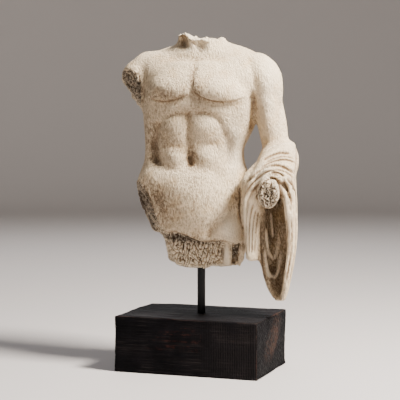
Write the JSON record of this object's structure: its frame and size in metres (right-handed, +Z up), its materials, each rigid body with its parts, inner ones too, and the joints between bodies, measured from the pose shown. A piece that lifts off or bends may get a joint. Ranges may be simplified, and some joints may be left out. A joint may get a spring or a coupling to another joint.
{
  "type": "display sculpture",
  "caption": "Broken classical male torso with a cloak over its forearm, on a slim upright rod in a rectangular block.",
  "frame": {"origin": "centre of the block's underside, on the rod's axis", "axes": "+Z up along the rod, the figure's chest faces -Y, its own left side is +X"},
  "size_m": [0.2945, 0.1589, 0.5196],
  "materials": {
    "resin": "aged cream cast resin with brown wash, matt",
    "steel": "black, satin",
    "wood": "black painted, rubbed through to brown"
  },
  "bodies": {
    "root": {"torso": "resin", "rod": "steel", "block": "wood"}
  },
  "joints": []
}
